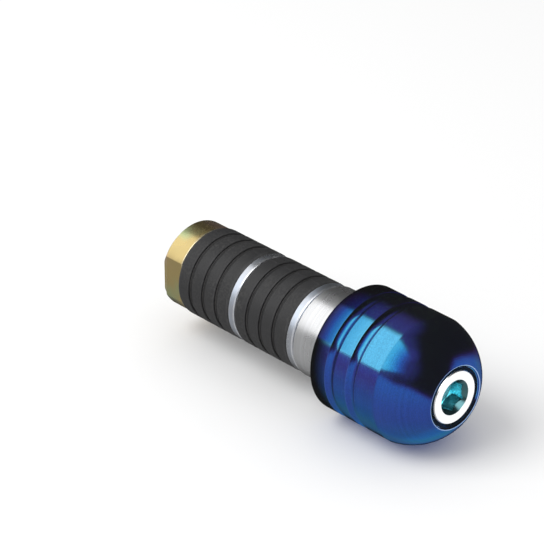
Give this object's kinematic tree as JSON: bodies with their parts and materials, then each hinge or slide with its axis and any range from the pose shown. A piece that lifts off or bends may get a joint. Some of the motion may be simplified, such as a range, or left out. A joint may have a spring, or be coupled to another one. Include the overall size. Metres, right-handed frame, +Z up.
{
  "type": "bar end weight",
  "caption": "Turned and anodised handlebar end weight with ring grooves and a domed nose, held by a socket cap screw that swells rubber sleeves inside the bar.",
  "frame": {"origin": "centre of the seat plane, where the weight's rear face meets the end of the bar, on the axis", "axes": "+X along the axis out of the bar, towards the domed nose; +Z up; +Y sideways"},
  "size_m": [0.0712, 0.024, 0.024],
  "materials": {
    "blue_anodised": "polished, dyed deep blue, fine turning lines",
    "screw_steel": "bright stainless, teal tint inside the hexagon",
    "washer_steel": "bright zinc plated",
    "turned_aluminium": "natural, as turned",
    "sleeve_rubber": "matt black moulded rubber",
    "nut_steel": "yellow passivated zinc, as turned"
  },
  "bodies": {
    "root": {"weight": "blue_anodised", "cap_screw": "screw_steel", "head_washer": "washer_steel", "centring_collar": "turned_aluminium", "front_washer": "washer_steel", "front_rubber": "sleeve_rubber", "middle_washer": "washer_steel", "rear_rubber": "sleeve_rubber", "clamp_nut": "nut_steel"}
  },
  "joints": []
}
